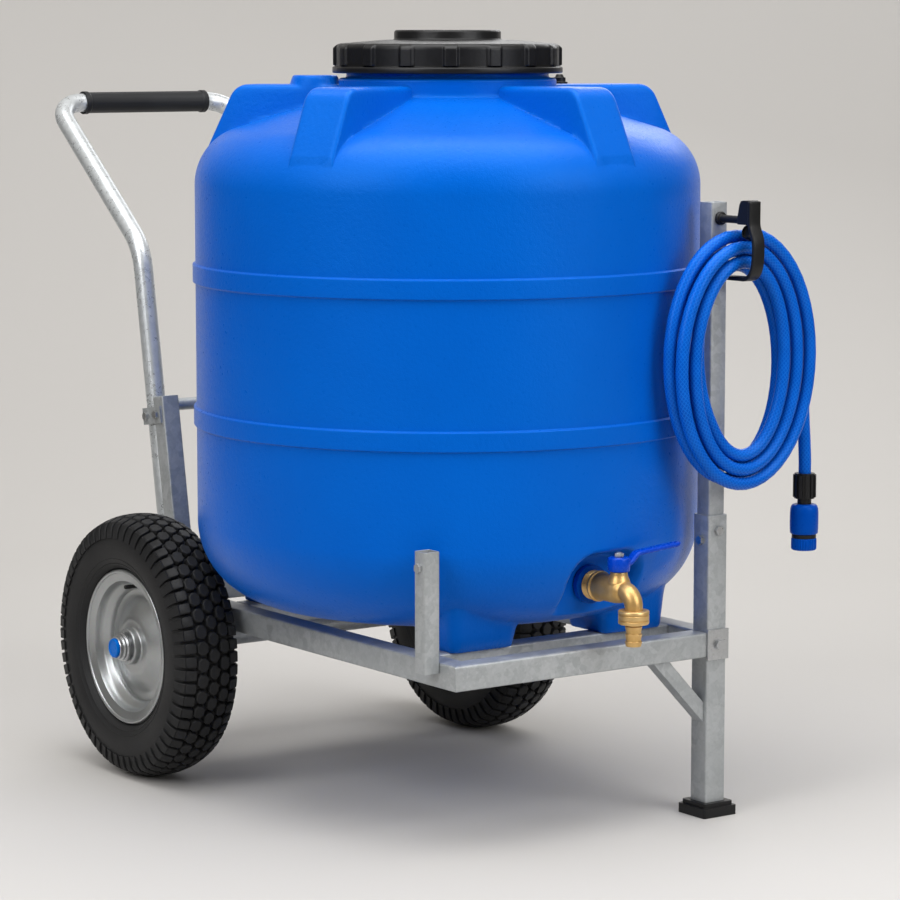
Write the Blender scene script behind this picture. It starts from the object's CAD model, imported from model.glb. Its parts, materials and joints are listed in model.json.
import json
from math import cos, degrees, hypot, pi, radians, sin, sqrt, tan, tau

import bmesh
import bpy
import numpy as np
from mathutils import Matrix, Vector


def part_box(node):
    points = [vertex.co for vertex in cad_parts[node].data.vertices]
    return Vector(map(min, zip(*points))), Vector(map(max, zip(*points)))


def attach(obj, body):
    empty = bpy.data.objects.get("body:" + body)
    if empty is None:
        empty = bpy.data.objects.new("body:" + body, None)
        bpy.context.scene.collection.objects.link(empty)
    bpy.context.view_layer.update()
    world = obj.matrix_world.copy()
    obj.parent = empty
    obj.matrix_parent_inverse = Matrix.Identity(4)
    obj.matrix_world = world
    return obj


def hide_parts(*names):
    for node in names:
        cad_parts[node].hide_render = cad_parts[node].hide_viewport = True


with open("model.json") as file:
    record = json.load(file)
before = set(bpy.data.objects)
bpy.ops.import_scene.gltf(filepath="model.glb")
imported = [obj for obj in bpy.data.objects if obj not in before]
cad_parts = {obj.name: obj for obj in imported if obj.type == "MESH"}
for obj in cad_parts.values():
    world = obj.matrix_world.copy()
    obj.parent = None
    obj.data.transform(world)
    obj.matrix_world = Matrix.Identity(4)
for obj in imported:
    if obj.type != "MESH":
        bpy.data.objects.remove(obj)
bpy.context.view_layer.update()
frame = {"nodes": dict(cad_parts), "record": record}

SCENE = bpy.context.scene

# Sizes of the cart, in metres, named as in the part; the frame gives the places
MM = 0.001
TANK_R = 0.363
TANK_WALL = 0.007
TANK_SIDE_H = 0.482
FOOT_H = 0.025
AXLE_BACK = 0.368
WHEEL_OUT = 0.302
BASE_FILLET = 0.118
SHOULDER_R = 0.085
DOME_SLOPE = radians(17)
RAIL = 0.035
HOSE_R = 0.009
HANDLE_HALF = 0.165
HANDLE_R = 0.015
LEAN_LOW, LEAN_HIGH = radians(9.5), radians(51)


def middle(node):
    low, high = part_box(node)
    return (low + high) / 2


AXLE = middle("left_rim")
LID_LOW, LID_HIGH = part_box("lid")
TANK_Y = middle("lid").y
CART_Y = AXLE.y - AXLE_BACK
RAIL_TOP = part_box("front_rail")[1].z
TANK_BOTTOM = RAIL_TOP + FOOT_H
SIDE_LOW = TANK_BOTTOM + BASE_FILLET
SIDE_HIGH = SIDE_LOW + TANK_SIDE_H


def cart(x, y, z):
    """A point given in millimetres from the cart's working origin, in the frame's metres."""
    return Vector((x * MM, y * MM + CART_Y, z * MM))


# Camera

CAMERA_TURN = radians(35.5)
CAMERA_PITCH = radians(7.2)
CAMERA_AWAY = 4.758
CAMERA_HEIGHT = 1.107
FOCAL_PIXELS = 3308
PHOTO_PIXELS = 900
SENSOR = 36.0
CAMERA_SHIFT = -0.004
CLIP_END = 60


def make_camera():
    data = bpy.data.cameras.new("camera")
    data.sensor_width = SENSOR
    data.lens = FOCAL_PIXELS / PHOTO_PIXELS * SENSOR
    data.clip_end = CLIP_END
    data.shift_x = CAMERA_SHIFT
    cam = bpy.data.objects.new("camera", data)
    cam.location = (
        -CAMERA_AWAY * sin(CAMERA_TURN), -CAMERA_AWAY * cos(CAMERA_TURN) + CART_Y, CAMERA_HEIGHT
    )
    cam.rotation_euler = (pi / 2 - CAMERA_PITCH, 0, -CAMERA_TURN)
    SCENE.collection.objects.link(cam)
    SCENE.camera = cam


make_camera()


# Mesh helpers

def link_object(name, mesh):
    mesh.shade_smooth()
    obj = bpy.data.objects.new(name, mesh)
    SCENE.collection.objects.link(obj)
    return obj


def new_object(name, verts, faces):
    mesh = bpy.data.meshes.new(name)
    mesh.from_pydata([tuple(v) for v in verts], [], faces)
    mesh.validate()
    return link_object(name, mesh)


def grid_faces(rows, columns, closed_rows=False):
    """Quads of a grid whose columns wrap round."""
    faces = []
    last = rows if closed_rows else rows - 1
    for i in range(last):
        a, b = i * columns, ((i + 1) % rows) * columns
        for j in range(columns):
            k = (j + 1) % columns
            faces.append((a + j, a + k, b + k, b + j))
    return faces


def sharpen(obj, angle=35):
    """Keeps hard edges where the faces turn by more than the angle."""
    obj.data.set_sharp_from_angle(angle=radians(angle))
    return obj


def bevel(obj, width, segments, angle):
    mod = obj.modifiers.new("bevel", "BEVEL")
    mod.width = width
    mod.segments = segments
    mod.limit_method = "ANGLE"
    mod.angle_limit = radians(angle)
    mod.harden_normals = True
    return obj


def capped_faces(rows, columns):
    """Quads of such a grid, with its first and last row closed by flat ends."""
    first, last = range(columns), range((rows - 1) * columns, rows * columns)
    return grid_faces(rows, columns) + [tuple(reversed(first)), tuple(last)]


def turned_over(faces):
    return [tuple(reversed(f)) for f in faces]


def lathe(profile, turn, segments):
    """Vertices and faces of a closed ring section (radius, height) turned round Z, then moved by a matrix."""
    verts = []
    for r, z in profile:
        for j in range(segments):
            a = tau * j / segments
            verts.append(turn @ Vector((r * cos(a), r * sin(a), z)))
    return verts, grid_faces(len(profile), segments, closed_rows=True)


def turned(profile, turn, segments=64):
    """Vertices and faces of a closed solid: a section (radius, height) turned round Z, with flat ends."""
    return lathe(profile, turn, segments)[0], capped_faces(len(profile), segments)


def together(*parts):
    """One list of vertices and faces from several."""
    verts, faces = [], []
    for part_verts, part_faces in parts:
        off = len(verts)
        verts += list(part_verts)
        faces += [tuple(i + off for i in face) for face in part_faces]
    return verts, faces


def soft(x, start, end):
    """Smooth step from 0 at start to 1 at end, also on arrays."""
    t = np.clip((x - start) / (end - start), 0, 1)
    return t * t * (3 - 2 * t)


def formed(name, shape, angle):
    """An object from vertices and faces, with its hard edges kept."""
    return sharpen(new_object(name, *shape), angle)


def scaled(points):
    """Millimetres to metres."""
    return [(a * MM, b * MM) for a, b in points]


def arc(cx, cy, r, a0, a1, n):
    """Points of an arc, angles in degrees."""
    out = []
    for i in range(n + 1):
        a = radians(a0 + (a1 - a0) * i / n)
        out.append((cx + r * cos(a), cy + r * sin(a)))
    return out


def rounded_rectangle(width, height, r, steps=4):
    w, h = width / 2 - r, height / 2 - r
    out = []
    for cx, cy, a in ((w, h, 0), (-w, h, 90), (-w, -h, 180), (w, -h, 270)):
        out += arc(cx, cy, r, a, a + 90, steps)
    return out


def directions(pts):
    last = len(pts) - 1
    return [(pts[min(i + 1, last)] - pts[max(i - 1, 0)]).normalized() for i in range(last + 1)]


def ribbon(path, across, widths, thick, r):
    """A flat strap bent along a path in the plane square to across."""
    across = Vector(across)
    verts = []
    for p, tangent, width in zip(path, directions(path), widths):
        normal = across.cross(tangent).normalized()
        verts += [p + s * across + t * normal for s, t in rounded_rectangle(width, thick, r)]
    return verts, turned_over(capped_faces(len(path), len(verts) // len(path)))


def fused(obj, voxel, passes):
    """Melts overlapping solids into one skin with soft inner corners, as a casting has."""
    mod = obj.modifiers.new("melt", "REMESH")
    mod.mode = "VOXEL"
    mod.voxel_size = voxel
    soft_mod = obj.modifiers.new("soft", "SMOOTH")
    soft_mod.factor, soft_mod.iterations = 0.5, passes
    mesh = bpy.data.meshes.new_from_object(obj.evaluated_get(bpy.context.evaluated_depsgraph_get()))
    obj.modifiers.clear()
    obj.data = mesh
    mesh.shade_smooth()
    return obj


def pipe(pts, radii, sides):
    """Vertices and faces of a capped tube along a path, and how far along it each ring lies."""
    tangents = directions(pts)
    side = tangents[0].cross(Vector((0, 1, 0)))
    if side.length < 0.1:
        side = tangents[0].cross(Vector((1, 0, 0)))
    side.normalize()
    verts, length, lengths = [], 0.0, []
    for i, r in enumerate(radii):
        if i:
            turn = tangents[i - 1].rotation_difference(tangents[i])
            side = (turn @ side).normalized()
            length += (pts[i] - pts[i - 1]).length
        lengths.append(length)
        up = tangents[i].cross(side)
        for k in range(sides):
            a = tau * k / sides
            verts.append(pts[i] + r * (cos(a) * side + sin(a) * up))
    return verts, capped_faces(len(pts), sides), lengths


def swept(name, path, radius, sides):
    """A capped tube as an object, with a UV map: U along it in metres, V round it in turns."""
    verts, faces, lengths = pipe(path, [radius] * len(path), sides)
    obj = new_object(name, verts, faces)
    uv = obj.data.uv_layers.new(name="along")
    for poly in obj.data.polygons:
        if len(poly.vertices) != 4:
            continue
        around = [v % sides for v in poly.vertices]
        wraps = 0 in around and sides - 1 in around
        for loop, v in zip(poly.loop_indices, poly.vertices):
            k = v % sides
            turn = 1.0 if wraps and k == 0 else k / sides
            uv.data[loop].uv = (lengths[v // sides], turn)
    return sharpen(obj, 50)


def place(obj, body, slot, *nodes):
    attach(obj, body)
    if nodes:
        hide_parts(*nodes)
    obj.data.materials.clear()
    obj.data.materials.append(MATERIALS[slot])
    return obj


# Materials

PEEL = 0.5
BLUE_TINT, LEVER_TINT = (0.12, 0.45, 1.0), (0.4, 0.6, 1.0)
BLUE, BLUE_DEEP = (0.0, 0.110, 0.555), (0.0, 0.099, 0.515)


class Nodes:
    """Short names for building the nodes of a material, or of the world."""

    def __init__(self, name, owner=None):
        self.owner = owner or bpy.data.materials.new(name)
        self.owner.use_nodes = True
        self.tree = self.owner.node_tree
        self.shader = self.tree.nodes["Background" if owner else "Principled BSDF"]
        self.coords = self.tree.nodes.new("ShaderNodeTexCoord").outputs
        self.object = self.coords["Object"]

    def link(self, a, b):
        self.tree.links.new(a, b)

    def put(self, socket, value):
        """Sets a socket to a number or colour, or links another node's output to it."""
        if isinstance(value, bpy.types.NodeSocket):
            self.link(value, socket)
        elif socket.type == "RGBA":
            socket.default_value = (*value, 1)
        else:
            socket.default_value = value

    def make(self, kind, **sockets):
        n = self.tree.nodes.new("ShaderNode" + kind)
        for key, value in sockets.items():
            self.put(n.inputs[key.replace("_", " ")], value)
        return n

    def noise(self, scale, detail=3.0, rough=0.5, vector=None):
        at = vector or self.object
        return self.make("TexNoise", Scale=scale, Detail=detail, Roughness=rough, Vector=at).outputs["Fac"]

    def voronoi(self, scale):
        return self.make("TexVoronoi", Scale=scale, Vector=self.object).outputs["Color"]

    def ramp(self, fac, *stops):
        n = self.make("ValToRGB", Fac=fac)
        while len(n.color_ramp.elements) < len(stops):
            n.color_ramp.elements.new(0.5)
        for element, (at, colour) in zip(n.color_ramp.elements, stops):
            element.position = at
            element.color = (*colour, 1)
        return n.outputs["Color"]

    def grey(self, fac, low, high, at=(0.3, 0.7)):
        n = self.make("MapRange", From_Min=at[0], From_Max=at[1], To_Min=low, To_Max=high, Value=fac)
        return n.outputs["Result"]

    def math(self, operation, a, b):
        n = self.make("Math")
        n.operation = operation
        self.put(n.inputs[0], a)
        self.put(n.inputs[1], b)
        return n.outputs["Value"]

    def mix(self, fac, a, b):
        n = self.make("Mix")
        n.data_type = "RGBA"
        for index, value in ((0, fac), (6, a), (7, b)):
            self.put(n.inputs[index], value)
        return n.outputs[2]

    def separate(self, vector, axis):
        return self.make("SeparateXYZ", Vector=vector).outputs[axis]

    def bump(self, height, strength, distance, **more):
        n = self.make("Bump", Height=height, Strength=strength, Distance=distance, **more)
        return n.outputs["Normal"]

    def set(self, **sockets):
        for key, value in sockets.items():
            self.put(self.shader.inputs[key.replace("_", " ")], value)
        return self.owner


def moulded_plastic(name, colour, dark, rough, shine=0.3, tint=(1, 1, 1), grain=900.0, depth=0.00012):
    n = Nodes(name)
    cloud = n.noise(6.0, 4.0)
    fine = n.noise(grain, 2.0)
    skin = n.noise(grain / 4, 3.0)
    tone = n.ramp(cloud, (0.3, dark), (0.7, colour))
    return n.set(
        Base_Color=tone, Roughness=n.grey(skin, rough - 0.05, rough + 0.06),
        Normal=n.bump(fine, PEEL, depth, Normal=n.bump(skin, PEEL, depth * 2)),
        Specular_IOR_Level=shine, Specular_Tint=tint,
    )


def galvanised(name, low, high, rough, spangle):
    """Hot-dip zinc: crystals of different greys, streaks and a dull bloom."""
    n = Nodes(name)
    crystals = n.voronoi(spangle)
    small = n.voronoi(spangle * 3.1)
    shade = n.math("ADD", n.math("MULTIPLY", n.separate(crystals, "X"), 0.6),
                   n.math("MULTIPLY", n.separate(small, "Y"), 0.4))
    bloom = n.noise(9.0, 5.0)
    tone = n.ramp(shade, (0.15, low), (0.85, high))
    dull = tuple(0.86 * (a + b) / 2 for a, b in zip(low, high))
    tone = n.mix(n.grey(bloom, 0.0, 0.55), tone, dull)
    drawn = n.make("Mapping", Scale=(1, 1, 0.2), Vector=n.object).outputs["Vector"]
    scuff = n.noise(240.0, 3.0, 0.6, drawn)
    return n.set(
        Base_Color=tone, Metallic=0.55,
        Roughness=n.math("ADD", n.grey(shade, rough - 0.07, rough + 0.07, (0.1, 0.9)),
                         n.grey(bloom, -0.04, 0.08)),
        Normal=n.bump(scuff, 0.25, 0.0002),
    )


def plain_metal(name, low, high, rough):
    n = Nodes(name)
    line = n.noise(180.0, 3.0, 0.6)
    cloud = n.noise(14.0, 3.0)
    tone = n.mix(n.grey(cloud, 0.0, 0.5), n.ramp(line, (0.25, low), (0.75, high)), low)
    return n.set(
        Base_Color=tone, Metallic=1.0, Roughness=n.grey(line, rough - 0.06, rough + 0.08),
        Normal=n.bump(line, 0.12, 0.0002),
    )


def cast_brass(name):
    n = Nodes(name)
    cloud = n.noise(40.0, 4.0)
    grit = n.noise(700.0, 2.0)
    tone = n.ramp(cloud, (0.25, (0.52, 0.31, 0.10)), (0.5, (0.64, 0.40, 0.145)), (0.75, (0.72, 0.49, 0.21)))
    worn = n.make("NewGeometry").outputs["Pointiness"]
    tone = n.mix(n.grey(worn, 0.0, 0.6, (0.5, 0.6)), tone, (0.84, 0.62, 0.31))
    return n.set(
        Base_Color=tone, Metallic=0.72, Roughness=n.grey(grit, 0.3, 0.43),
        Normal=n.bump(grit, 0.3, 0.00015),
    )


def rubber(name, colour, rough, dusty):
    n = Nodes(name)
    cloud = n.noise(11.0, 5.0)
    grit = n.noise(900.0, 2.0)
    tone = n.ramp(cloud, (0.3, colour), (0.8, dusty))
    return n.set(
        Base_Color=tone, Roughness=n.grey(grit, rough - 0.08, rough + 0.1),
        Normal=n.bump(grit, 0.35, 0.0002), Specular_IOR_Level=0.28,
    )


def painted_rim(name):
    n = Nodes(name)
    flake = n.voronoi(2600.0)
    cloud = n.noise(16.0, 4.0)
    tone = n.ramp(cloud, (0.3, (0.34, 0.355, 0.36)), (0.75, (0.42, 0.435, 0.44)))
    tone = n.mix(0.12, tone, flake)
    return n.set(
        Base_Color=tone, Metallic=0.85, Roughness=n.grey(cloud, 0.3, 0.4),
        Normal=n.bump(n.noise(420.0, 2.0), 0.15, 0.0002),
    )


def braided_hose(name):
    """Clear blue hose wall over two sets of crossing yarns."""
    n = Nodes(name)
    along, around = n.separate(n.coords["UV"], "X"), n.separate(n.coords["UV"], "Y")
    yarns = None
    for way in (1, -1):
        phase = n.math("ADD", n.math("MULTIPLY", along, 150.0), n.math("MULTIPLY", around, 10.0 * way))
        line = n.math("PINGPONG", phase, 0.5)
        line = n.grey(line, 1.0, 0.0, (0.04, 0.17))
        yarns = line if yarns is None else n.math("MAXIMUM", yarns, line)
    cloud = n.noise(30.0, 3.0)
    base = n.ramp(cloud, (0.3, (0.001, 0.078, 0.46)), (0.7, (0.002, 0.098, 0.54)))
    tone = n.mix(n.math("MULTIPLY", yarns, 0.34), base, (0.012, 0.22, 0.78))
    return n.set(
        Base_Color=tone, Roughness=n.grey(yarns, 0.26, 0.34, (0.0, 1.0)), Specular_IOR_Level=0.3,
        Specular_Tint=BLUE_TINT, Coat_Weight=0.06, Coat_Roughness=0.15,
        Normal=n.bump(yarns, 0.25, 0.0003),
    )


MATERIALS = {}
for maker, slot_name, *values in (
    (moulded_plastic, "tank_blue", BLUE, BLUE_DEEP, 0.32, 0.34, BLUE_TINT, 700.0, 0.0004),
    (moulded_plastic, "lid_black", (0.008, 0.008, 0.0085), (0.005, 0.005, 0.0055), 0.36),
    (moulded_plastic, "black_plastic", (0.009, 0.009, 0.0095), (0.006, 0.006, 0.0065), 0.38),
    (rubber, "seal_rubber", (0.010,) * 3, 0.6, (0.022,) * 3),
    (moulded_plastic, "dark_blue_plastic", (0.0, 0.062, 0.40), (0.0, 0.046, 0.32), 0.3, 0.24, BLUE_TINT),
    (cast_brass, "tap_brass"),
    (moulded_plastic, "seat_plastic", (0.8, 0.78, 0.72), (0.74, 0.72, 0.66), 0.5),
    (plain_metal, "bright_steel", (0.46, 0.47, 0.48), (0.62, 0.63, 0.64), 0.32),
    (moulded_plastic, "lever_blue", (0, 0.055, 0.53), (0, 0.044, 0.45), 0.26, 0.4, LEVER_TINT, 900.0, 0.0),
    (galvanised, "galvanised", (0.37, 0.39, 0.40), (0.50, 0.52, 0.53), 0.42, 85.0),
    (galvanised, "handle_zinc", (0.54, 0.565, 0.575), (0.64, 0.665, 0.675), 0.32, 140.0),
    (rubber, "grip_rubber", (0.009, 0.0095, 0.011), 0.45, (0.015, 0.016, 0.018)),
    (moulded_plastic, "cap_blue", (0.0, 0.14, 0.58), (0.0, 0.11, 0.48), 0.3, 0.24, BLUE_TINT),
    (rubber, "tyre_rubber", (0.010, 0.0102, 0.011), 0.55, (0.018, 0.0182, 0.019)),
    (rubber, "tube_rubber", (0.010,) * 3, 0.5, (0.016,) * 3),
    (painted_rim, "rim_silver"),
    (braided_hose, "hose_blue"),
):
    MATERIALS[slot_name] = maker(slot_name, *values)
SLOTS = {part["node"]: part["material_slot"] for part in frame["record"]["subparts"]}


def dress_nodes():
    """Every CAD node takes the material of its slot."""
    for node, slot in SLOTS.items():
        mesh = frame["nodes"][node].data
        mesh.materials.clear()
        mesh.materials.append(MATERIALS[slot])


dress_nodes()


# Hose: the coil on the hook and its free end, along the part's own route

COIL_ALL, COIL_RINGS = 5.235, 252
COIL_MID = cart(224, 0, 651)
COIL_A, COIL_B = 0.128, 0.180
COIL_PITCH_X, COIL_PITCH_Z = 0.024, 0.020
COIL_REAR = cart(0, -360, 0).y
LAYER_PITCH, CLIMB_HALF = 0.020, 0.25
TAIL_ROUTE = [
    (352, -360, 633), (352, -360, 615), (352.5, -360, 590), (353.5, -360.5, 560),
    (355, -361.5, 530), (356, -362, 502), (356, -362, 484),
]


def coil_point(u):
    """The hose after so many turns: it winds inwards, steps to the front layer and winds out again."""
    inset = min(u, COIL_ALL - u)
    turn = tau * u
    climb = soft(u, COIL_ALL / 2 - CLIMB_HALF, COIL_ALL / 2 + CLIMB_HALF)
    return Vector((
        COIL_MID.x + (COIL_A - COIL_PITCH_X * inset) * cos(turn),
        COIL_REAR - LAYER_PITCH * climb,
        COIL_MID.z + (COIL_B - COIL_PITCH_Z * inset) * sin(turn),
    ))


def rounded_route(points, steps):
    """A smooth curve through the points."""
    pts = [Vector(p) for p in points]
    out = []
    for i in range(len(pts) - 1):
        a, b = pts[max(i - 1, 0)], pts[i]
        c, d = pts[i + 1], pts[min(i + 2, len(pts) - 1)]
        for k in range(steps):
            t = k / steps
            out.append(0.5 * (2 * b + (c - a) * t + (2 * a - 5 * b + 4 * c - d) * t * t
                              + (3 * b - a - 3 * c + d) * t ** 3))
    return out + [pts[-1]]


def make_hose():
    """From the end tucked in under the hook, round the coil and down the tail."""
    turning = [coil_point(COIL_ALL * i / COIL_RINGS) for i in range(COIL_RINGS, -1, -1)]
    tail = rounded_route([cart(*p) for p in TAIL_ROUTE], 4)
    path = turning + tail
    hose = swept("hose", path, HOSE_R, 20)
    place(hose, "cart", "hose_blue", "hose_coil", "hose_tail")


# Tank: one moulded skin, with ridges, boss, bands, alcove and feet blended into it

RIDGE_COUNT = 5
RIDGE_STEP = tau / RIDGE_COUNT
RIDGE_TURN = radians(5 - 90)
RIDGE_HALF = 0.036
RIDGE_FLAT_R = 0.290
RIDGE_ROUND = 0.028
RIDGE_LEAN = radians(25)
RIDGE_EDGE = 0.008
RIDGE_DRAFT = 16
RIDGE_FOOT = (TANK_R - 0.0022, SIDE_HIGH + 0.030)
RIDGE_STOP = 0.352
BOSS_RIDGE, BOSS_R, BOSS_AT, BOSS_H = 3, 0.036, 0.197, 0.013
VENT_AT, VENT_TURN, VENT_PAD_R, VENT_PAD_UP = 0.217, radians(95 - 90), 0.020, 0.010
FOOT_MID, FOOT_HALF, FOOT_ROUND = (0.1315, 0.2285), (0.0565, 0.0485), 0.018
FOOT_REACH = TANK_R - 0.033
COLLAR_R, NECK_R, NECK_BORE = 0.156, 0.145, 0.136
DOME_R = TANK_R - SHOULDER_R + SHOULDER_R * sin(DOME_SLOPE)
DOME_Z = SIDE_HIGH + SHOULDER_R * cos(DOME_SLOPE)


def dome_height(r):
    return DOME_Z + (DOME_R - r) * tan(DOME_SLOPE)


COLLAR_BASE = dome_height(COLLAR_R)
COLLAR_TOP = COLLAR_BASE + 0.026
NECK_TOP = COLLAR_TOP + 0.036
RIDGE_TOP = COLLAR_TOP - 0.010
BANDS = (TANK_BOTTOM + 0.270, TANK_BOTTOM + 0.475)
BAND_HALF, BAND_PROUD, BAND_SOFT = 0.015, 0.004, 0.0028
ALCOVE_Y = TANK_Y - TANK_R + 0.056
ALCOVE_HALF, ALCOVE_ROUND = 0.062, 0.038
TAP_X = 0.020
TAP_Z = TANK_BOTTOM + 0.058
ALCOVE_TOP = TAP_Z + 0.047
RIDGE_COLUMNS = [
    c * MM for c in (
        0, 7, 14, 20, 25, 28, 30, 31.5, 33, 34.2, 35.2, 36, 36.4, 36.8, 37.2, 37.7, 38.2, 38.8, 39.5, 40.5,
        42, 44, 47, 51, 56,
    )
]
SPREAD_COLUMNS = 40
ROW_STEP, EDGE_STEP, EDGE_ROWS, EDGE_CLEAR = 0.004, 0.0006, 5, 0.0042


def soft_max(a, b, k):
    h = np.clip(0.5 + 0.5 * (a - b) / k, 0, 1)
    return b * (1 - h) + a * h + k * h * (1 - h)


def spaced(a, b, step):
    n = max(2, int(abs(b - a) / step))
    return [a + (b - a) * i / n for i in range(n + 1)]


def side_rows():
    """Heights of the side's rows, closer together along the edges of the bands."""
    edges = [mid + way * (BAND_HALF - BAND_SOFT / 2) for mid in BANDS for way in (-1, 1)]
    rows = spaced(SIDE_LOW, SIDE_HIGH, ROW_STEP)[1:]
    rows = [z for z in rows if all(abs(z - e) > EDGE_CLEAR for e in edges)]
    return sorted(rows + [e + EDGE_STEP * k for e in edges for k in range(-EDGE_ROWS, EDGE_ROWS + 1)])


def tank_section():
    """Outer and inner half section, from the bottom's middle up over the neck and back down inside."""
    outer = [(r, TANK_BOTTOM) for r in spaced(0.004, TANK_R - BASE_FILLET, 0.004)]
    outer += arc(TANK_R - BASE_FILLET, SIDE_LOW, BASE_FILLET, -90, 0, 62)[1:]
    outer += [(TANK_R, z) for z in side_rows()]
    outer += arc(TANK_R - SHOULDER_R, SIDE_HIGH, SHOULDER_R, 0, 90 - degrees(DOME_SLOPE), 44)[1:]
    outer += [(r, dome_height(r)) for r in spaced(DOME_R, COLLAR_R + 0.008, 0.003)[1:]]
    outer += arc(COLLAR_R + 0.008, COLLAR_BASE + 0.006, 0.008, 255, 180, 5)
    outer += [(COLLAR_R, z) for z in spaced(COLLAR_BASE + 0.008, COLLAR_TOP - 0.004, 0.004)]
    outer += arc(COLLAR_R - 0.004, COLLAR_TOP - 0.004, 0.004, 0, 90, 4)
    outer += [(NECK_R + 0.002, COLLAR_TOP), (NECK_R, COLLAR_TOP + 0.002)]
    outer += [(NECK_R, z) for z in spaced(COLLAR_TOP + 0.004, NECK_TOP - 0.002, 0.006)]
    outer += [(NECK_R - 0.002, NECK_TOP), (NECK_BORE + 0.002, NECK_TOP), (NECK_BORE, NECK_TOP - 0.002)]
    w = TANK_WALL
    drop = w / cos(DOME_SLOPE)
    inner = [(NECK_BORE, dome_height(NECK_BORE) - drop)]
    inner += arc(TANK_R - SHOULDER_R, SIDE_HIGH, SHOULDER_R - w, 90 - degrees(DOME_SLOPE), 0, 12)
    inner += [(TANK_R - w, z) for z in spaced(SIDE_HIGH, SIDE_LOW, 0.03)[1:]]
    inner += arc(TANK_R - BASE_FILLET, SIDE_LOW, BASE_FILLET - w, 0, -90, 40)[1:]
    inner += [(r, TANK_BOTTOM + w) for r in spaced(TANK_R - BASE_FILLET, 0.004, 0.03)[1:]]
    return outer, inner


def ridge_height(u):
    """Top of a ridge along its run: level, a round corner, a steep leaning end and a ledge at its foot."""
    end_r = RIDGE_FLAT_R + RIDGE_ROUND * cos(RIDGE_LEAN)
    end_z = RIDGE_TOP - RIDGE_ROUND * (1 - sin(RIDGE_LEAN))
    steep = (end_z - RIDGE_FOOT[1]) / (RIDGE_FOOT[0] - end_r)
    past = np.clip(u - RIDGE_FLAT_R, 0, RIDGE_ROUND)
    bend = RIDGE_TOP - RIDGE_ROUND + np.sqrt(RIDGE_ROUND ** 2 - past ** 2)
    ledge = np.maximum(u - RIDGE_STOP, 0) * RIDGE_DRAFT
    return np.where(u < end_r, bend, end_z - (u - end_r) * steep) - ledge


def side_drop(v):
    """How far a ridge has fallen at a distance from its middle line: flat, a round edge, a steep side."""
    past = np.clip(np.abs(v) - RIDGE_HALF + RIDGE_EDGE, 0, RIDGE_EDGE * 0.998)
    bend = RIDGE_EDGE - np.sqrt(RIDGE_EDGE ** 2 - past ** 2)
    return bend + np.maximum(np.abs(v) - RIDGE_HALF, 0) * RIDGE_DRAFT


def raise_ridges(x, y, z):
    """Lifts the dome to the ridges, the boss on one of them and the vent's pad."""
    top = z.copy()
    for k in range(RIDGE_COUNT):
        a = RIDGE_TURN + k * RIDGE_STEP
        u = x * cos(a) + y * sin(a)
        v = -x * sin(a) + y * cos(a)
        ridge = ridge_height(u) - side_drop(v)
        top = np.where(u > 0.1, soft_max(ridge, top, 0.006), top)
    a = RIDGE_TURN + BOSS_RIDGE * RIDGE_STEP
    boss = np.hypot(x - BOSS_AT * cos(a), y - BOSS_AT * sin(a))
    top = top + BOSS_H * soft(-boss, -BOSS_R - 0.001, -BOSS_R + 0.004)
    pad = np.hypot(x - VENT_AT * cos(VENT_TURN), y - VENT_AT * sin(VENT_TURN))
    pad_z = dome_height(VENT_AT) + VENT_PAD_UP
    return top + np.maximum(pad_z - top, 0) * soft(-pad, -VENT_PAD_R - 0.004, -VENT_PAD_R)


def arch_distance(x, z, grow):
    """Signed distance to the alcove's outline, negative inside."""
    half, r, top = ALCOVE_HALF + grow, ALCOVE_ROUND + grow, ALCOVE_TOP + grow
    qx = np.abs(x) - (half - r)
    qz = z - (top - r)
    return np.hypot(np.maximum(qx, 0), np.maximum(qz, 0)) + np.minimum(np.maximum(qx, qz), 0) - r


def press_alcove(x, y, z, grow):
    """Pushes the front skin back to the alcove's flat wall."""
    wall = ALCOVE_Y - TANK_Y + grow
    depth = soft(-arch_distance(x - TAP_X, z, grow), -0.007, 0.009)
    front = (y < wall) & (z < ALCOVE_TOP + 0.04)
    return np.where(front, y + (wall - y) * depth, y)


def draw_feet(x, y, z):
    """Draws the bottom down to the four feet."""
    qx = np.abs(np.abs(x) - FOOT_MID[0]) - (FOOT_HALF[0] - FOOT_ROUND)
    qy = np.abs(np.abs(y) - FOOT_MID[1]) - (FOOT_HALF[1] - FOOT_ROUND)
    rect = np.hypot(np.maximum(qx, 0), np.maximum(qy, 0)) + np.minimum(np.maximum(qx, qy), 0) - FOOT_ROUND
    edge = np.maximum(rect, np.hypot(x, y) - FOOT_REACH)
    return z + (RAIL_TOP - z) * soft(-edge, -0.004, 0.005)


def column_angles(r):
    """Angles of the grid's columns at a radius, drawn together along the sides of the ridges."""
    reach = np.arcsin(np.minimum(np.array(RIDGE_COLUMNS) / max(r, COLLAR_R), 1))
    rest = np.linspace(reach[-1], RIDGE_STEP / 2, SPREAD_COLUMNS + 1)[1:]
    half = np.concatenate([reach, rest])
    sector = np.concatenate([-half[:0:-1], half[:-1]])
    return np.concatenate([RIDGE_TURN + k * RIDGE_STEP + sector for k in range(RIDGE_COUNT)])


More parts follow.
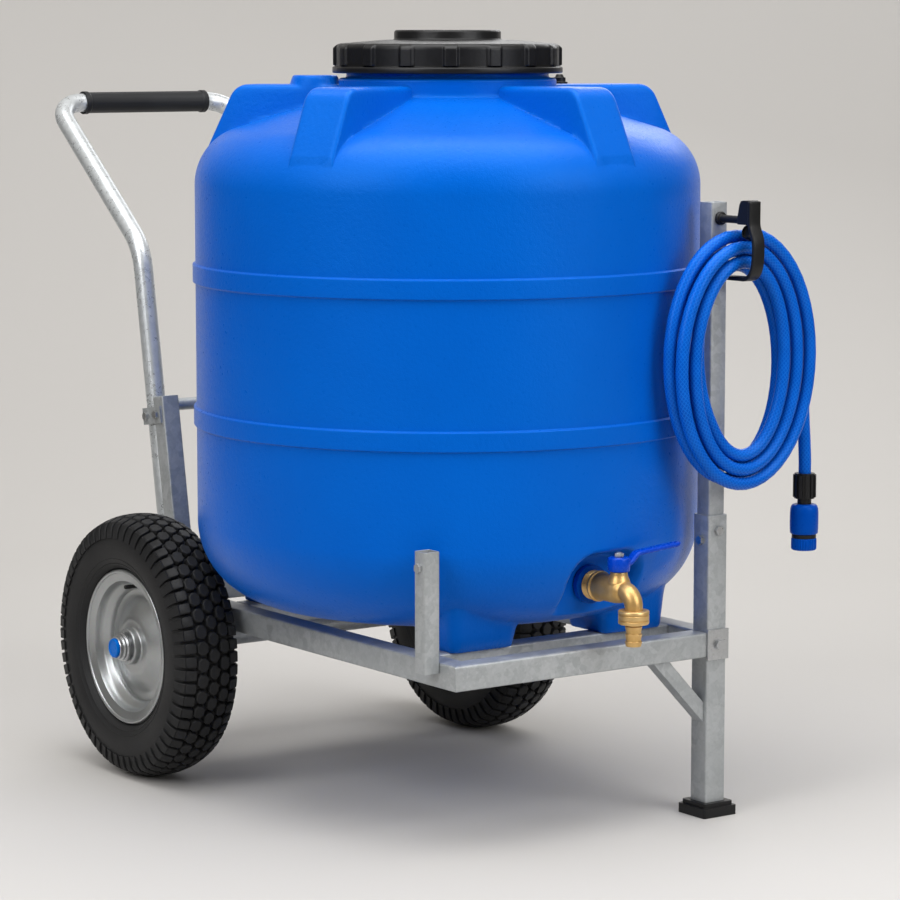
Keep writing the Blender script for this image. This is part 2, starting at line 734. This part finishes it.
def make_tank():
    outer, inner = tank_section()
    section = np.array(outer + inner)
    angles = np.stack([column_angles(r) for r, _ in section])
    rows, segments = angles.shape
    r, z = section[:, 0:1], np.repeat(section[:, 1:2], segments, axis=1)
    skin = (np.arange(rows) < len(outer))[:, None]
    band = sum(soft(-np.abs(section[:, 1:2] - mid), -BAND_HALF, -BAND_HALF + BAND_SOFT) for mid in BANDS)
    r = np.where(skin & (r > TANK_R - 0.0005), r + BAND_PROUD * band, r)
    x, y = r * np.cos(angles), r * np.sin(angles)
    outside = np.repeat(skin, segments, axis=1)
    dome = outside & (z > SIDE_HIGH) & (np.hypot(x, y) > COLLAR_R - 0.0001) & (z < RIDGE_TOP)
    z = np.where(dome, raise_ridges(x, y, z), z)
    flat_z = z.copy()
    z = np.where(outside & (z < SIDE_LOW - 0.002), draw_feet(x, y, z), z)
    y = np.where(outside, press_alcove(x, y, flat_z, 0.0), press_alcove(x, y, flat_z, TANK_WALL))
    verts = np.stack([x, y + TANK_Y, z], axis=-1).reshape(-1, 3)
    faces = grid_faces(rows, segments)
    end = len(verts)
    verts = [tuple(v) for v in verts] + [(0, TANK_Y, TANK_BOTTOM), (0, TANK_Y, TANK_BOTTOM + TANK_WALL)]
    last = (rows - 1) * segments
    for j in range(segments):
        k = (j + 1) % segments
        faces.append((end, k, j))
        faces.append((end + 1, last + j, last + k))
    place(formed("tank_shell", (verts, faces), 75), "cart", "tank_blue", "tank")


make_tank()


# Screw lid with soft grip ribs

LID_DISC, LID_RISE = 0.013, 0.006
LID_R, LID_GRIP_R, LID_DISC_R, LID_BORE = 0.165, 0.160, 0.0765, 0.1456
LID_GRIP_UP, LID_RIBS, RIB_OUT = 0.0095, 16, 0.004
LID_SEGMENTS = 640


def lid_section(base, grip, edge, top):
    """Outer half section from the bore's edge to the middle of the top, then the inner one."""
    outer = [(LID_BORE, base + 0.001), (LID_BORE + 0.001, base)]
    outer += arc(LID_R - 0.002, base + 0.002, 0.002, -90, 0, 3)
    outer += arc(LID_R - 0.003, grip - 0.003, 0.003, 0, 90, 4)
    outer += [(LID_GRIP_R + 0.0002, grip + 0.0002), (LID_GRIP_R, grip + 0.001)]
    outer += [(LID_GRIP_R, z) for z in spaced(grip + 0.002, edge - 0.009, 0.002)]
    outer += arc(LID_GRIP_R - 0.008, edge - 0.008, 0.008, 0, 80, 8)
    outer += [(r, edge + LID_RISE * (0.152 - r) / 0.076) for r in spaced(0.150, 0.086, 0.006)]
    outer += arc(0.079, edge + LID_RISE + 0.0015, 0.0025, 250, 180, 3)
    outer += arc(LID_DISC_R - 0.004, top - 0.004, 0.004, 0, 90, 5)
    groove = top - 0.0008
    outer += [(0.066, top), (0.0655, groove), (0.064, groove), (0.0635, top), (0.02, top), (0.003, top)]
    under = edge - 0.009
    return outer, [(0.003, under), (LID_BORE - 0.001, under), (LID_BORE, under - 0.001)]


def make_lid():
    base, top = LID_LOW.z, LID_HIGH.z
    grip, edge = base + LID_GRIP_UP, top - LID_DISC - LID_RISE
    outer, inner = lid_section(base, grip, edge, top)
    section = np.array(outer + inner)
    r, z = section[:, 0:1], section[:, 1:2]
    angles = tau * np.arange(LID_SEGMENTS) / LID_SEGMENTS
    pitch = tau / LID_RIBS
    rib = soft(-np.abs(angles % pitch - pitch / 2) * LID_GRIP_R, -0.0115, -0.0080)
    on_grip = soft(z, grip, grip + 0.002) * soft(-z, -edge - 0.001, -edge + 0.008)
    on_grip = on_grip * (r > 0.14) * (np.arange(len(section)) < len(outer))[:, None]
    r = r + RIB_OUT * rib[None, :] * on_grip
    z = np.repeat(z, LID_SEGMENTS, axis=1)
    verts = np.stack([r * np.cos(angles), r * np.sin(angles) + TANK_Y, z], axis=-1).reshape(-1, 3)
    faces = grid_faces(len(section), LID_SEGMENTS, closed_rows=True)
    place(formed("screw_lid", (verts, faces), 50), "lid_screw", "lid_black", "lid")


make_lid()


# Wheels: lathe-turned rims and tyres with rows of tread blocks

TYRE_R = 0.197
TYRE_HALF = 0.050
TREAD_DEPTH = 0.008
CROWN_DROP, CROWN_POWER = 0.0145, 2.4
TREAD_ROWS = (  # distance from the middle, blocks round the tyre, length, width, cut corner, start
    (0.0, 50, 0.0208, 0.0160, 0.0055, 0.0),
    (0.0182, 50, 0.0208, 0.0160, 0.0048, 0.5),
    (0.0355, 60, 0.0160, 0.0152, 0.0020, 0.25),
)
LUGS, LUG_START, LUG_HALF = 60, 0.25, 0.0078
LUG_RUN = scaled([(186.2, 43.2), (180.0, 47.0), (172.0, 49.2), (164.0, 49.7)])


def outward(at, side):
    """A frame whose Z looks away from the cart's middle."""
    return Matrix.Translation(at) @ Matrix.Rotation(side * pi / 2, 4, "Y")


def wheel_turn(side):
    return outward((side * WHEEL_OUT, AXLE.y, AXLE.z), side)


def crown(a):
    """Radius of the tread's top at a distance from the tyre's middle plane."""
    return TYRE_R - CROWN_DROP * (abs(a) / TYRE_HALF) ** CROWN_POWER


def mirrored(points):
    return [(r, -a) for r, a in reversed(points)]


def tyre_section():
    base = [(crown(a) - TREAD_DEPTH, a) for a in np.linspace(-0.040, 0.040, 15)]
    side = scaled([
        (176, 45.5), (168, 47.8), (160, 49.2), (150, 49.8), (140, 49), (133.5, 47.4), (132.5, 48),
        (131.2, 47), (126.5, 44.8), (125.5, 45.2), (124.3, 44), (120.5, 40.5), (117.8, 36), (116.5, 33.7),
        (106, 33.7), (102, 29.7),
    ])
    hollow = scaled([(102, 20), (108, 22), (145, 37), (169, 33), (180, 16)])
    return base + side + hollow + mirrored(hollow) + mirrored(side)


def round_point(r, angle, a):
    return Vector((r * cos(angle), r * sin(angle), a))


def tread_block(angle, a_mid, length, width, cut):
    """One rounded block: an outline with cut corners, with a chamfered top, bent round the tyre."""
    hl, hw = length / 2, width / 2
    outline = [
        (-hl + cut, -hw), (hl - cut, -hw), (hl, -hw + cut), (hl, hw - cut),
        (hl - cut, hw), (-hl + cut, hw), (-hl, hw - cut), (-hl, -hw + cut),
    ]
    verts = []
    for scale, sink in ((1.08, TREAD_DEPTH + 0.002), (1.0, 0.0022), (0.94, 0.0006), (0.84, 0.0)):
        for s, a in outline:
            across = a_mid + a * scale
            verts.append(round_point(crown(across) - sink, angle + s * scale / TYRE_R, across))
    return verts, capped_faces(4, 8)


def shoulder_lug(angle, way):
    """A lug that runs down from the shoulder onto the side wall."""
    verts = []
    for grow, push in ((1.06, -0.004), (1.0, 0.0004), (0.86, 0.0012)):
        half = LUG_HALF * grow / TYRE_R
        verts += [round_point(r, angle - half, way * (a + push)) for r, a in LUG_RUN]
        verts += [round_point(r, angle + half, way * (a + push)) for r, a in reversed(LUG_RUN)]
    faces = capped_faces(3, 8)
    return verts, turned_over(faces) if way < 0 else faces


def make_tyre(side, name):
    parts = [lathe(tyre_section(), Matrix.Identity(4), 160)]
    for a_mid, count, length, width, corner, start in TREAD_ROWS:
        for way in (-1, 1) if a_mid else (1,):
            for k in range(count):
                angle = (k + start) * tau / count
                parts.append(tread_block(angle, way * a_mid, length, width, corner))
    for way in (-1, 1):
        parts += [shoulder_lug((k + LUG_START) * tau / LUGS, way) for k in range(LUGS)]
    verts, faces = together(*parts)
    turn = wheel_turn(side)
    tyre = formed(name + "_tread_tyre", ([turn @ v for v in verts], faces), 30)
    place(tyre, name + "_wheel", "tyre_rubber", name + "_tyre")


def make_rim(side, name):
    lip = [(0.116, 0.0345)] + arc(0.1130, 0.0370, 0.0030, -60, 170, 8)
    step = scaled([
        (108.5, 37.2), (104.5, 35.5), (98.5, 33.5), (96.5, 29), (95.5, 23.5), (92.5, 20.5), (86.5, 16.5),
    ])
    dish = scaled([
        (84.2, 13.5), (83.8, 10.5), (83.2, 8.6), (80, 8), (74, 8), (70, 9), (66, 11.2), (56, 16.5),
        (47, 21.5), (42, 23.6), (38, 24.2), (30, 24.2), (28.5, 24.8), (27.2, 26.2), (27, 34), (26.2, 35.5),
        (25, 36), (21.2, 36),
    ])
    back = scaled([
        (21.2, -36), (25, -36), (26.5, -35), (27, -33.5), (27, 20), (39, 20), (55, 13), (69, 5), (78, 4),
        (83.8, 4), (83.8, -13),
    ])
    well = scaled([(88, 15), (98.7, 23), (101.7, 34), (115.5, 34)])
    section = lip + step + dish + back + mirrored(step) + mirrored(lip) + mirrored(well) + well
    rim = formed(name + "_pressed_rim", lathe(section, wheel_turn(side), 128), 40)
    place(rim, name + "_wheel", "rim_silver", name + "_rim")


for wheel_side, wheel_name in ((-1, "left"), (1, "right")):
    make_tyre(wheel_side, wheel_name)
    make_rim(wheel_side, wheel_name)


# Frame tubes with rounded corners

FRAME_HALF = 0.236
FRAME_FRONT = cart(0, -335, 0).y
FRAME_BACK = cart(0, 510, 0).y
RAIL_Z = RAIL_TOP - RAIL / 2
RAIL_WALL, POST_WALL = 0.0025, 0.002
RAIL_ROUND, POST_ROUND = 0.0032, 0.0028
UPRIGHT_W, UPRIGHT_LONG, UPRIGHT_IN = 0.030, 0.286, 0.0015
MITRE, MITRE_BACK = (1, -1, 0), (1, 1, 0)
X_WAY, Y_WAY, Z_WAY = Vector((1, 0, 0)), Vector((0, 1, 0)), Vector((0, 0, 1))
LOW_WAY = Vector((0, sin(LEAN_LOW), cos(LEAN_LOW)))
HIGH_WAY = Vector((0, sin(LEAN_HIGH), cos(LEAN_HIGH)))


def square_tube(node, start, end, w, wall, r, up, cut_start=None, cut_end=None):
    """A square tube between two points; a cut is the plane normal that its end follows."""
    start, end = Vector(start), Vector(end)
    along = (end - start).normalized()
    side = up.cross(along).normalized()
    lift = along.cross(side).normalized()
    bore = w - 2 * wall
    verts = []
    first, last = (start, cut_start), (end, cut_end)
    for (base, cut), width, radius in (
        (first, w, r), (last, w, r), (last, bore, r / 2), (first, bore, r / 2),
    ):
        normal = Vector(cut) if cut else along
        for s, t in rounded_rectangle(width, width, radius):
            p = base + s * side + t * lift
            verts.append(p + along * ((base - p).dot(normal) / along.dot(normal)))
    tube = formed(node + "_tube", (verts, grid_faces(4, len(verts) // 4, closed_rows=True)), 35)
    place(bevel(tube, 0.0006, 2, 50), "cart", "galvanised", node)


def make_frame():
    half, inner = FRAME_HALF - RAIL / 2, FRAME_HALF - RAIL
    front, back = FRAME_FRONT + RAIL / 2, FRAME_BACK - RAIL / 2
    for node, a, b, cuts in (
        ("front_rail", (-half, front), (half, front), (MITRE, MITRE_BACK)),
        ("rear_rail", (half, back), (-half, back), (MITRE, MITRE_BACK)),
        ("left_rail", (-half, back), (-half, front), (MITRE_BACK, MITRE)),
        ("right_rail", (half, front), (half, back), (MITRE_BACK, MITRE)),
    ):
        square_tube(node, (*a, RAIL_Z), (*b, RAIL_Z), RAIL, RAIL_WALL, RAIL_ROUND, Z_WAY, *cuts)
    for node in ("front_cross_rail", "rear_cross_rail"):
        _, y, z = middle(node)
        square_tube(node, (-inner, y, z), (inner, y, z), RAIL, RAIL_WALL, RAIL_ROUND, Z_WAY)
    walls = {"leg": RAIL_WALL, "post_socket": 0.0026, "hose_post": POST_WALL, "stub_post": POST_WALL}
    for node, wall in walls.items():
        low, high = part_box(node)
        x, y, _ = middle(node)
        square_tube(node, (x, y, low.z), (x, y, high.z), high.x - low.x, wall, POST_ROUND, Y_WAY)
    for node, side in (("left_upright", -1), ("right_upright", 1)):
        foot = Vector((side * HANDLE_HALF, back - UPRIGHT_IN, RAIL_TOP))
        head = foot + UPRIGHT_LONG * LOW_WAY
        square_tube(node, foot, head, UPRIGHT_W, POST_WALL, POST_ROUND, X_WAY, (0, 0, 1))


make_frame()


# Handle: one bent tube

BEND_Z, BEND_R, CORNER_R = 0.774, 0.090, 0.047
HANDLE_FOOT_Z, HANDLE_BORE, MOUTH_DEEP = 0.305, 0.0128, 0.05
HANDLE_SIDES = 40


def bent(start, ahead, inside, r, turn, n):
    """Points of a bend that leaves straight ahead and turns to the inside."""
    angles = [turn * i / n for i in range(n + 1)]
    return [start + r * (sin(a) * ahead + (1 - cos(a)) * inside) for a in angles]


def hollow_ends(obj):
    """Turns the two end caps into open mouths with a visible wall and depth."""
    bm = bmesh.new()
    bm.from_mesh(obj.data)
    for cap in [f for f in bm.faces if len(f.verts) == HANDLE_SIDES]:
        out = cap.normal.copy()
        bmesh.ops.inset_region(bm, faces=[cap], thickness=HANDLE_R - HANDLE_BORE)
        for deep in bmesh.ops.extrude_discrete_faces(bm, faces=[cap])["faces"]:
            bmesh.ops.translate(bm, verts=deep.verts, vec=-out * MOUTH_DEEP)
    bm.to_mesh(obj.data)
    bm.free()


def make_handle():
    inside = Vector((0, cos(LEAN_LOW), -sin(LEAN_LOW)))
    _, grip_y, grip_z = middle("handle_grip")
    top = Vector((-HANDLE_HALF, grip_y, grip_z))
    knee = top - HIGH_WAY * ((grip_z - BEND_Z) / cos(LEAN_HIGH))
    foot = knee - LOW_WAY * ((BEND_Z - HANDLE_FOOT_Z) / cos(LEAN_LOW))
    turn = LEAN_HIGH - LEAN_LOW
    left = [foot + LOW_WAY * (0.02 * i) for i in range(3)]
    left += bent(knee - LOW_WAY * BEND_R * tan(turn / 2), LOW_WAY, inside, BEND_R, turn, 14)
    left += bent(top - HIGH_WAY * CORNER_R, HIGH_WAY, X_WAY, CORNER_R, pi / 2, 22)
    right = [Vector((-p.x, p.y, p.z)) for p in reversed(left)]
    tube = swept("bent_handle", left + right, HANDLE_R, HANDLE_SIDES)
    hollow_ends(tube)
    place(tube, "cart", "handle_zinc", "handle_tube")


make_handle()


# Tap: cast body with its thread, lever, union nut

TAP_TURN = Matrix.Translation(cart(20, -292, 348)) @ Matrix.Rotation(pi / 2, 4, "X")
STEM_OUT, SPOUT_OUT, ELBOW_R, SPOUT_DROP = 0.070, 0.103, 0.020, 0.030
ELBOW_STEPS = 12
THREADS, THREAD_PITCH = 6, 2.2
LEVER_W, LEVER_T, LEVER_ROUND, LEVER_TIP_R, LEVER_TIP = 0.0150, 0.0064, 0.0028, 0.0075, 0.4


def tap_point(side, out, up):
    return TAP_TURN @ Vector((side, up, out))


STEM_TURN = Matrix.Translation(tap_point(0, STEM_OUT, 0))


def make_tap_body():
    house = scaled([
        (17.5, 25), (20.8, 25.2), (21.8, 26), (21.8, 28.4), (20.8, 29.4), (19.2, 30), (19, 34), (18.4, 44),
        (18.6, 56), (18.7, 64), (18.1, 71), (16.9, 77), (15.2, 82), (13.4, 85.5), (9, 88),
    ])
    tower = scaled([
        (16, 0), (16, 11), (14.6, 15), (13, 18.5), (12.2, 21.5), (12, 24.8), (11.4, 25.8), (10.4, 26),
    ])
    run = [tap_point(0, out, 0) for out in (0.056, 0.066, 0.076)]
    radii = [0.0150, 0.0148, 0.0142]
    for i in range(ELBOW_STEPS + 1):
        a = pi / 2 * i / ELBOW_STEPS
        out = SPOUT_OUT - ELBOW_R + ELBOW_R * sin(a)
        run.append(tap_point(0, out, ELBOW_R * (cos(a) - 1)))
        radii.append(0.0138 - 0.0013 * i / ELBOW_STEPS)
    run.append(tap_point(0, SPOUT_OUT, -SPOUT_DROP))
    elbow = pipe(run, radii + [0.0123], 32)[:2]
    body = new_object("tap_body_cast", *together(turned(house, TAP_TURN), turned(tower, STEM_TURN), elbow))
    place(fused(body, 0.0008, 3), "cart", "tap_brass", "tap_body")
    thread = [(13.2, 11.3), (19.0, 11.3)]
    for k in range(THREADS):
        up = THREAD_PITCH * k
        thread += [(19.3, 12.0 + up), (20.5, 12.9 + up), (20.5, 13.3 + up)]
    thread += [(19.2, 25.1), (13.2, 25.1)]
    place(formed("tap_thread", turned(scaled(thread), TAP_TURN, 96), 40), "cart", "tap_brass")


def make_tap_lever():
    hub = scaled([
        (11.5, 26.6), (14.2, 26.6), (15, 27.4), (15.6, 34), (15.6, 43.6), (14.8, 45.4), (13.2, 46.2),
        (9.2, 46.2), (8.6, 45.6), (5, 45.6),
    ])
    line = scaled([
        (6, 35.5), (15, 36.5), (21, 40), (27, 46), (31, 48.4), (36, 49.4), (60, 51.6), (88, 54), (95, 54.6),
        (100, 55), (103.5, 55.3), (105.5, 55.5), (106, 55.5),
    ])
    path = [tap_point(x, STEM_OUT, up) for x, up in line]
    smooth_path = rounded_route(path[:9], 5) + path[9:]
    short = [1 - min((p - path[-1]).length / LEVER_TIP_R, 1) for p in smooth_path]
    widths = [LEVER_W * max(LEVER_TIP, sqrt(1 - t ** 2)) for t in short]
    arm = ribbon(smooth_path, Y_WAY, widths, LEVER_T, LEVER_ROUND)
    lever = formed("lever_handle", together(turned(hub, STEM_TURN, 72), arm), 40)
    place(lever, "lever", "lever_blue", "tap_lever")


def make_union_nut():
    x, y, _ = tap_point(0, SPOUT_OUT, 0)
    turn = Matrix.Translation((x, y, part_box("tap_union_nut")[0].z))
    ring = scaled([
        (12.3, 0.4), (12.8, 0), (20, 0), (20.9, 0.8), (21.3, 1.8), (21.3, 4.4), (20.7, 5), (20.7, 5.8),
        (21.3, 6.4), (21.3, 12.2), (20.7, 12.8), (20.7, 13.6), (21.4, 14.2), (21.4, 17.6), (20.6, 18.7),
        (19.4, 19), (13.2, 19), (12.5, 18.2),
    ])
    place(formed("union_nut_ring", lathe(ring, turn, 96), 40), "cart", "tap_brass", "tap_union_nut")


make_tap_body()
make_tap_lever()
make_union_nut()


# Hook: a bar from the post, a block and a strap that bellies out round the coil

STRAP_W, STRAP_T, STRAP_ROUND = 0.020, 0.006, 0.0018
BLOCK_HALF, BAR_DOWN = 0.0096, 0.0275


def make_hook():
    low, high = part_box("hose_hook")
    x, front, back = (low.x + high.x) / 2, low.y, high.y
    lip, top = low.z / MM, high.z / MM
    bar_z = high.z - BAR_DOWN
    turn = Matrix.Translation((x, back, bar_z)) @ Matrix.Rotation(pi / 2, 4, "X")
    bar = turned(scaled([
        (8.5, 0.2), (9.5, 1.2), (9.5, 4), (8.5, 5.4), (5.8, 6), (5.5, 8), (5.5, (back - front) / MM - 8),
    ]), turn, 32)
    strap = scaled([
        (3, top - 1), (3, top - 12), (3, top - 30), (1.5, top - 38), (-4, top - 50), (-6, top - 60),
        (-6, top - 76), (-4, lip + 20), (2, lip + 9), (12, lip + 3.4), (26, lip + 3), (56, lip + 3),
    ])
    path = rounded_route([Vector((x, front + a, z)) for a, z in strap], 6)
    belt = ribbon(path, X_WAY, [STRAP_W] * len(path), STRAP_T, STRAP_ROUND)
    bar_up = bar_z / MM
    block = scaled([
        (5, bar_up - 6), (28, bar_up - 6), (28, bar_up + 4), (24, top - 6), (21, top - 1), (16, top),
        (5, top),
    ])
    verts = [Vector((x + side * BLOCK_HALF, front + a, z)) for side in (-1, 1) for a, z in block]
    sides = (verts, turned_over(capped_faces(2, len(block))))
    hook = formed("hose_hook_strap", together(bar, belt, sides), 40)
    place(bevel(hook, 0.0016, 3, 50), "cart", "black_plastic", "hose_hook")


make_hook()


# Hubs: turned rings round the axle's end and a shallow blue cap

def make_hubs():
    ring = scaled([
        (10.6, 39.5), (21.2, 39.5), (21.8, 40.1), (21.8, 43.2), (21.2, 43.8), (19.8, 44), (19.4, 44.4),
        (19.4, 47.8), (18.8, 48.4), (17.4, 48.6), (17, 49), (17, 54), (16.2, 54.9), (15.2, 54.9),
        (14.9, 54.3), (14.9, 50), (10.6, 50),
    ])
    cap = scaled([
        (6, 51), (14.4, 51), (14.4, 56.8), (13.8, 58.2), (12.6, 58.8), (11.4, 58.7), (10.9, 57.9),
        (10.6, 57.6), (3, 57.6),
    ])
    rings = together(*(lathe(ring, wheel_turn(side), 72) for side in (-1, 1)))
    caps = together(*(turned(cap, wheel_turn(side), 72) for side in (-1, 1)))
    place(formed("hub_rings", rings, 35), "cart", "bright_steel", "axle_nuts")
    place(formed("hub_caps", caps, 35), "cart", "cap_blue", "axle_caps")


make_hubs()


# Hose end: a barrel with round shoulders, a black ring and a ribbed collar with its mouth

COLLAR_SEGMENTS, COLLAR_RIBS, COLLAR_RIB_R, COLLAR_RIB_DEEP = 240, 30, 0.0175, 0.05


def make_hose_end():
    x, y, _ = middle("hose_connector")
    turn = Matrix.Translation((x, y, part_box("hose_connector")[0].z))
    barrel = scaled([
        (9, 23.1), (18.4, 23.1), (19.4, 23.8), (20, 25.4), (20.4, 32), (20.5, 42), (20.3, 54), (19.8, 59.5),
        (18.6, 63), (16.6, 65.2), (14, 66), (9, 66),
    ])
    ring = scaled([(9, 17.1), (16.9, 17.1), (17.5, 17.7), (17.5, 22.3), (16.9, 23), (9, 23)])
    collar = scaled([
        (8.2, 1), (9, 0), (16.4, 0), (17.6, 0.9), (18.2, 2.4), (18.2, 15.4), (17.6, 16.6), (16.8, 17),
        (8.2, 17),
    ])
    barrel = formed("hose_connector_barrel", turned(barrel, turn, 72), 40)
    place(barrel, "cart", "dark_blue_plastic", "hose_connector")
    place(formed("hose_connector_ring", lathe(ring, turn, 72), 40), "cart", "black_plastic")
    verts, faces = lathe(collar, Matrix.Identity(4), COLLAR_SEGMENTS)
    for i, v in enumerate(verts):
        if hypot(v.x, v.y) > COLLAR_RIB_R:
            wave = 0.5 - 0.5 * cos(tau * COLLAR_RIBS * (i % COLLAR_SEGMENTS) / COLLAR_SEGMENTS)
            v.xy *= 1 - COLLAR_RIB_DEEP * wave
    ribbed = formed("hose_connector_collar", ([turn @ v for v in verts], faces), 50)
    place(ribbed, "cart", "dark_blue_plastic")


# Tyre valves: slim stems with a screwed cap, where the part's valves are

def make_valves():
    stem = scaled([(3.6, 0), (3.6, 5), (2.9, 6.5), (2.8, 14), (3.2, 14.4), (3.2, 23.6), (2.6, 25), (0.5, 25)])
    for side, name in ((-1, "left"), (1, "right")):
        node = name + "_valve"
        low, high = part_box(node)
        _, y, z = middle(node)
        turn = outward((high.x if side < 0 else low.x, y, z), side)
        place(formed(node + "_stem", turned(stem, turn, 32), 40), name + "_wheel", SLOTS[node], node)


make_hose_end()
make_valves()


# Small parts keep the solid's own shape, with their edges broken

SOFT_EDGES = {
    0.0014: ("leg_foot",),
    0.0009: (
        "vent_valve", "bulkhead_fitting", "leg_brace", "corner_plate", "handle_plates", "handle_grip",
        "hose_end_nut", "hose_start_connector", "axle_brackets",
    ),
    0.0006: (
        "corner_bolt", "post_bolts", "stub_screw", "handle_bolts", "tap_lever_nut", "axle_washers",
        "tap_hose_tail", "upright_crossbar", "axle_tube",
    ),
}
FLAT_ANGLE, HARD_ANGLE, SAME_POINT = 0.6, 28, 1e-6


def soften(node, width):
    """A copy of the node's solid with flat faces joined and a small round on each hard edge."""
    bm = bmesh.new()
    bm.from_mesh(frame["nodes"][node].data)
    bmesh.ops.remove_doubles(bm, verts=bm.verts, dist=SAME_POINT)
    bmesh.ops.dissolve_limit(bm, angle_limit=radians(FLAT_ANGLE), verts=bm.verts, edges=bm.edges)
    mesh = bpy.data.meshes.new(node + "_soft")
    bm.to_mesh(mesh)
    bm.free()
    return bevel(sharpen(link_object(mesh.name, mesh), HARD_ANGLE), width, 3, HARD_ANGLE)


def soften_all():
    bodies = {n: b for b, nodes in frame["record"]["behaviour"]["bodies"].items() for n in nodes}
    for width, nodes in SOFT_EDGES.items():
        for node in nodes:
            place(soften(node, width), bodies[node], SLOTS[node], node)


soften_all()
make_hose()


# Stage: pale floor that curves up behind, soft light

FLOOR = (0.53, 0.516, 0.499)
FLOOR_HALF, FLOOR_NEAR, BACK_TOP = 3.5, -7.0, 7.0
SWEEP_START, SWEEP_R = 2.2, 2.4
FLOOR_GLOW, FLOOR_GLOW_RUN = 0.17, (1.0, 2.4)
BACK_GLOW, BACK_GLOW_RISE = 0.15, (0.0, 1.2)
LAMP = (0.985, 0.99, 1.0)
LAMPS = (  # name, place ahead of, right of and above the cart as the camera sees it, size, power
    ("key", (-2.6, -2.4, 2.6), (2.2, 2.6), 70),
    ("fill", (-2.4, 2.8, 2.3), (2.2, 2.6), 70),
    ("top", (-0.5, 0.0, 3.3), (3.2, 2.6), 100),
    ("rim", (3.0, 1.0, 2.4), (2.6, 1.2), 24),
)
LAMP_AIM = 0.55
SKY, SKY_RUN, SKY_LOW, SKY_HIGH, SKY_SEEN = (1.0, 0.955, 0.885), (0.0, 0.8), 0.03, 0.55, 0.6


def show_one_side(n):
    """Lets a view from behind see through the back of the sweep."""
    sides = n.make("MixShader")
    n.link(n.make("NewGeometry").outputs["Backfacing"], sides.inputs[0])
    n.link(n.shader.outputs["BSDF"], sides.inputs[1])
    n.link(n.make("BsdfTransparent").outputs["BSDF"], sides.inputs[2])
    n.link(sides.outputs["Shader"], n.tree.nodes["Material Output"].inputs["Surface"])


def make_stage():
    n = Nodes("studio_floor")
    tone = n.ramp(n.noise(0.7, 2.0), (0.3, tuple(0.98 * c for c in FLOOR)), (0.7, FLOOR))
    glow = n.math("ADD", n.grey(n.separate(n.object, "Y"), 0.0, FLOOR_GLOW, FLOOR_GLOW_RUN),
                  n.grey(n.separate(n.object, "Z"), 0.0, BACK_GLOW, BACK_GLOW_RISE))
    n.set(Base_Color=tone, Roughness=0.75, Specular_IOR_Level=0.15)
    n.set(Emission_Color=tone, Emission_Strength=glow)
    show_one_side(n)
    profile = [(FLOOR_NEAR, 0.0)] + arc(SWEEP_START, SWEEP_R, SWEEP_R, -90, 0, 24)
    profile.append((SWEEP_START + SWEEP_R, BACK_TOP))
    verts = [(side, run, z) for run, z in profile for side in (-FLOOR_HALF, FLOOR_HALF)]
    faces = [(i, i + 1, i + 3, i + 2) for i in range(0, len(verts) - 2, 2)]
    floor = new_object("studio_floor", verts, faces)
    floor.rotation_euler = (0, 0, -CAMERA_TURN)
    floor.location = (0, CART_Y, 0)
    floor.data.materials.append(n.owner)


def make_lamps():
    turn = Matrix.Translation((0, CART_Y, 0)) @ Matrix.Rotation(-CAMERA_TURN, 4, "Z")
    for name, (ahead, right, up), size, power in LAMPS:
        data = bpy.data.lights.new(name, "AREA")
        data.shape = "RECTANGLE"
        data.size, data.size_y = size
        data.energy = power
        data.color = LAMP
        lamp = bpy.data.objects.new(name, data)
        lamp.location = turn @ Vector((right, ahead, up))
        aim = Vector((0, CART_Y, LAMP_AIM)) - lamp.location
        lamp.rotation_euler = aim.to_track_quat("-Z", "Y").to_euler()
        SCENE.collection.objects.link(lamp)


def make_world():
    """Light from above, dark round the horizon; the camera itself sees it pale."""
    n = Nodes("studio", bpy.data.worlds.new("studio"))
    rise = n.grey(n.separate(n.coords["Generated"], "Z"), SKY_LOW, SKY_HIGH, SKY_RUN)
    seen = n.make("LightPath").outputs["Is Camera Ray"]
    strength = n.make("Mix", Factor=seen, A=rise, B=SKY_SEEN).outputs["Result"]
    SCENE.world = n.set(Color=SKY, Strength=strength)


make_stage()
make_lamps()
make_world()
SCENE.view_settings.view_transform = "Standard"
